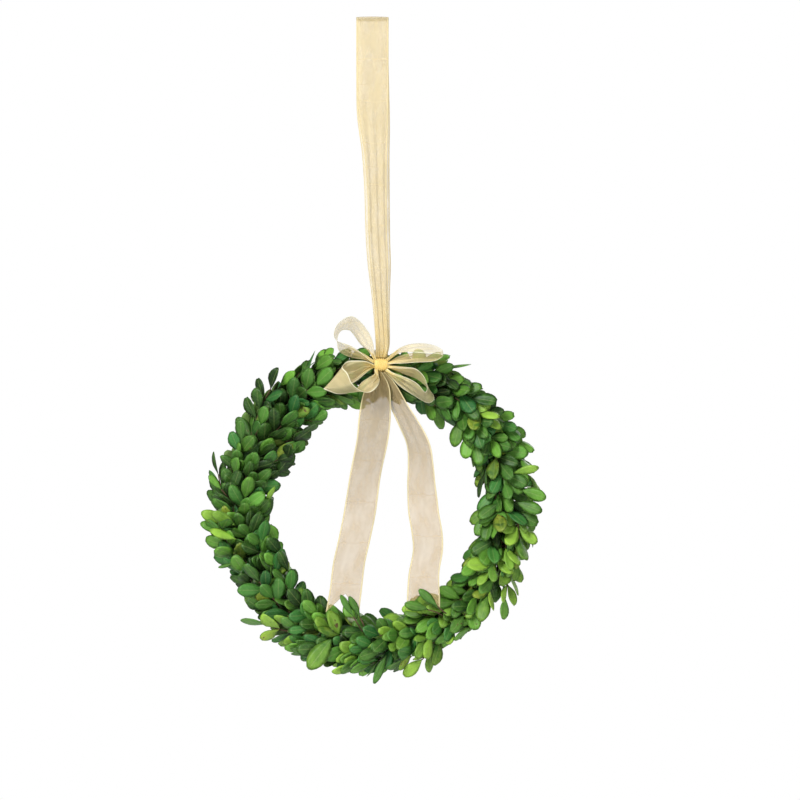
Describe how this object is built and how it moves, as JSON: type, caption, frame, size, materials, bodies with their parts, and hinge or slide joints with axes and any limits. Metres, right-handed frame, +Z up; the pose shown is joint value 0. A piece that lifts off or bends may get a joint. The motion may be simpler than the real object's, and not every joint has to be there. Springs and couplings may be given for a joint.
{
  "type": "boxwood wreath",
  "caption": "Round wreath of preserved boxwood sprays on a twig ring, hung on a loop of sheer ribbon with a bow and two tails.",
  "frame": {"origin": "inside the top of the ribbon loop, on the flat underside where a hook bears", "axes": "+Z up along the hanging ribbon, -Y out of the wreath's front, +X to the right seen from the front"},
  "size_m": [0.2512, 0.0651, 0.4951],
  "materials": {
    "boxwood_deep": "preserved leaf, satin, deep green",
    "boxwood_mid": "preserved leaf, satin, mid green",
    "boxwood_fresh": "preserved leaf, satin, yellow green",
    "twig_bark": "rough bark",
    "green_wire": "dark green enamelled wire",
    "cream_organza": "sheer woven organza with denser edges"
  },
  "bodies": {
    "root": {"twig_ring": "twig_bark", "binding_wire": "green_wire", "ribbon_hanger": "cream_organza", "ribbon_strap": "cream_organza", "bow_knot": "cream_organza", "bow_loop_upper_left": "cream_organza", "bow_loop_upper_right": "cream_organza", "bow_loop_lower_left": "cream_organza", "bow_loop_lower_right": "cream_organza", "tail_left": "cream_organza", "tail_right": "cream_organza", "spray_01": "boxwood_mid", "spray_02": "boxwood_mid", "spray_03": "boxwood_mid", "spray_04": "boxwood_deep", "spray_05": "boxwood_mid", "spray_06": "boxwood_mid", "spray_07": "boxwood_mid", "spray_08": "boxwood_deep", "spray_09": "boxwood_fresh", "spray_10": "boxwood_fresh", "spray_11": "boxwood_fresh", "spray_12": "boxwood_mid", "spray_13": "boxwood_mid", "spray_14": "boxwood_fresh", "spray_15": "boxwood_fresh", "spray_16": "boxwood_mid", "spray_17": "boxwood_fresh", "spray_18": "boxwood_fresh", "spray_19": "boxwood_fresh", "spray_20": "boxwood_fresh", "spray_21": "boxwood_mid", "spray_22": "boxwood_mid", "spray_23": "boxwood_mid", "spray_24": "boxwood_deep", "spray_25": "boxwood_fresh", "spray_26": "boxwood_deep", "spray_27": "boxwood_fresh", "spray_28": "boxwood_mid", "spray_29": "boxwood_deep", "spray_30": "boxwood_deep", "spray_31": "boxwood_mid", "spray_32": "boxwood_mid", "spray_33": "boxwood_deep", "spray_34": "boxwood_mid", "spray_35": "boxwood_deep", "spray_36": "boxwood_deep", "spray_37": "boxwood_deep", "spray_38": "boxwood_mid", "spray_39": "boxwood_deep", "spray_40": "boxwood_deep", "spray_41": "boxwood_mid", "spray_42": "boxwood_deep", "spray_43": "boxwood_mid", "spray_44": "boxwood_mid", "spray_45": "boxwood_deep", "spray_46": "boxwood_deep", "spray_47": "boxwood_deep", "spray_48": "boxwood_mid"}
  },
  "joints": []
}
